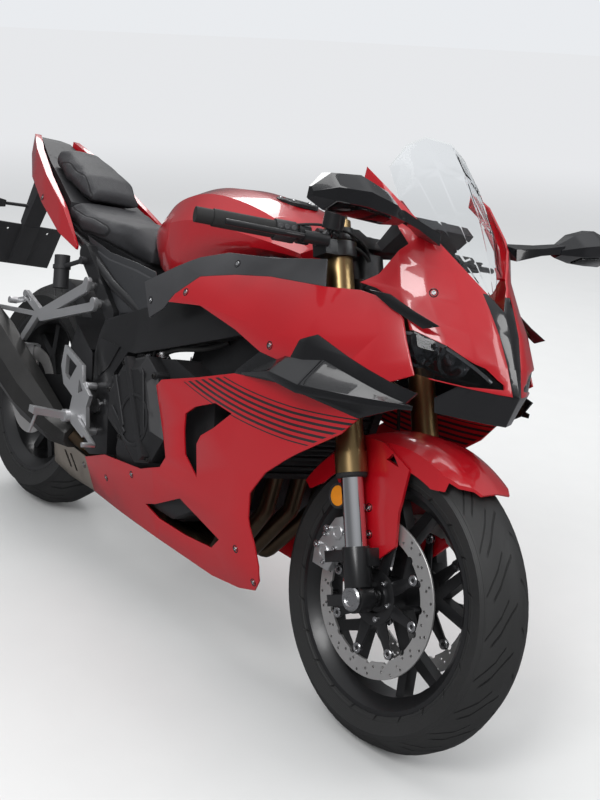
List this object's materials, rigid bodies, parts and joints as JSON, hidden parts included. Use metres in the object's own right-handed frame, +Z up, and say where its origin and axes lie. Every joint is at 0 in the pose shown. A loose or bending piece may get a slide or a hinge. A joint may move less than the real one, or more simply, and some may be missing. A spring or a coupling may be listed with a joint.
{
  "type": "sport motorcycle",
  "caption": "Full-fairing sport motorcycle on its side stand, with turning wheels, steering fork and folding stand.",
  "frame": {"origin": "middle of the parked bike's box, on the ground", "axes": "+X towards the front wheel along the bike's length, +Y towards the rider's left, where the bike leans, +Z up"},
  "size_m": [2.156, 0.8358, 1.1457],
  "materials": {
    "tyre": "matte",
    "red_paint": "gloss",
    "red_plastic": "gloss",
    "black_gloss": "gloss",
    "black_matte": "matte",
    "black_metal": "satin",
    "engine_metal": "satin",
    "silver_cast": "satin",
    "gold": "satin",
    "chrome": "polished",
    "steel": "brushed",
    "dark_steel": "satin",
    "champagne": "satin",
    "rubber": "matte",
    "seat": "matte",
    "clear_glass": "clear",
    "smoke_glass": "clear",
    "amber": "gloss",
    "red_lens": "gloss"
  },
  "bodies": {
    "chassis": {"frame": "black_metal", "subframe": "black_metal", "swingarm": "silver_cast", "rear_shock": "steel", "preload_knob": "black_matte", "pivot_bolt": "steel", "rear_axle": "steel", "rear_hugger": "black_matte", "rear_caliper": "silver_cast", "chain": "dark_steel", "engine": "engine_metal", "engine_covers": "engine_metal", "radiator": "engine_metal", "exhaust_headers": "dark_steel", "muffler": "dark_steel", "frame_covers": "black_matte", "side_panels": "red_plastic", "lower_panels": "red_plastic", "exhaust_guard": "champagne", "winglets": "black_gloss", "nose_cowl": "red_plastic", "nose_trim": "black_gloss", "headlights": "smoke_glass", "windscreen": "clear_glass", "fuel_tank": "red_paint", "rider_seat": "seat", "pillion_seat": "seat", "tail_cowl": "black_matte", "tail_wings": "red_plastic", "tail_lamp": "red_lens", "plate_holder": "black_matte", "rearsets": "silver_cast", "foot_levers": "silver_cast", "pillion_brackets": "silver_cast", "mirrors": "black_gloss", "dashboard": "black_matte"},
    "steering": {"fork_tubes": "gold", "fork_stanchions": "chrome", "fork_feet": "black_metal", "front_axle": "steel", "triple_clamps": "black_metal", "handlebars": "black_metal", "grips": "rubber", "switchgear": "black_matte", "hand_levers": "black_metal", "front_calipers": "silver_cast", "front_fender": "red_plastic", "reflectors": "amber"},
    "front_wheel": {"front_rim": "black_metal", "front_tyre": "tyre", "front_discs": "steel"},
    "rear_wheel": {"rear_rim": "black_metal", "rear_tyre": "tyre", "rear_disc": "steel", "rear_sprocket": "dark_steel"},
    "side_stand": {"side_stand": "black_metal"}
  },
  "joints": [
    {"name": "steering_turn", "type": "hinge", "parent": "chassis", "child": "steering", "pos_m": [0.51374, -0.02059, 0.80015], "axis": [-0.4067, 0.1899, 0.8936], "range_deg": [-24, 24]},
    {"name": "front_wheel_spin", "type": "hinge", "parent": "steering", "child": "front_wheel", "pos_m": [0.77933, -0.128, 0.2948], "axis": [0, 0.9781, -0.2079], "continuous": true},
    {"name": "rear_wheel_spin", "type": "hinge", "parent": "chassis", "child": "rear_wheel", "pos_m": [-0.64567, -0.12473, 0.31019], "axis": [0, 0.9781, -0.2079], "continuous": true},
    {"name": "side_stand_fold", "type": "hinge", "parent": "chassis", "child": "side_stand", "pos_m": [-0.19567, 0.03956, 0.25585], "axis": [0, 0.9987, 0.0511], "range_deg": [0, 92]}
  ]
}
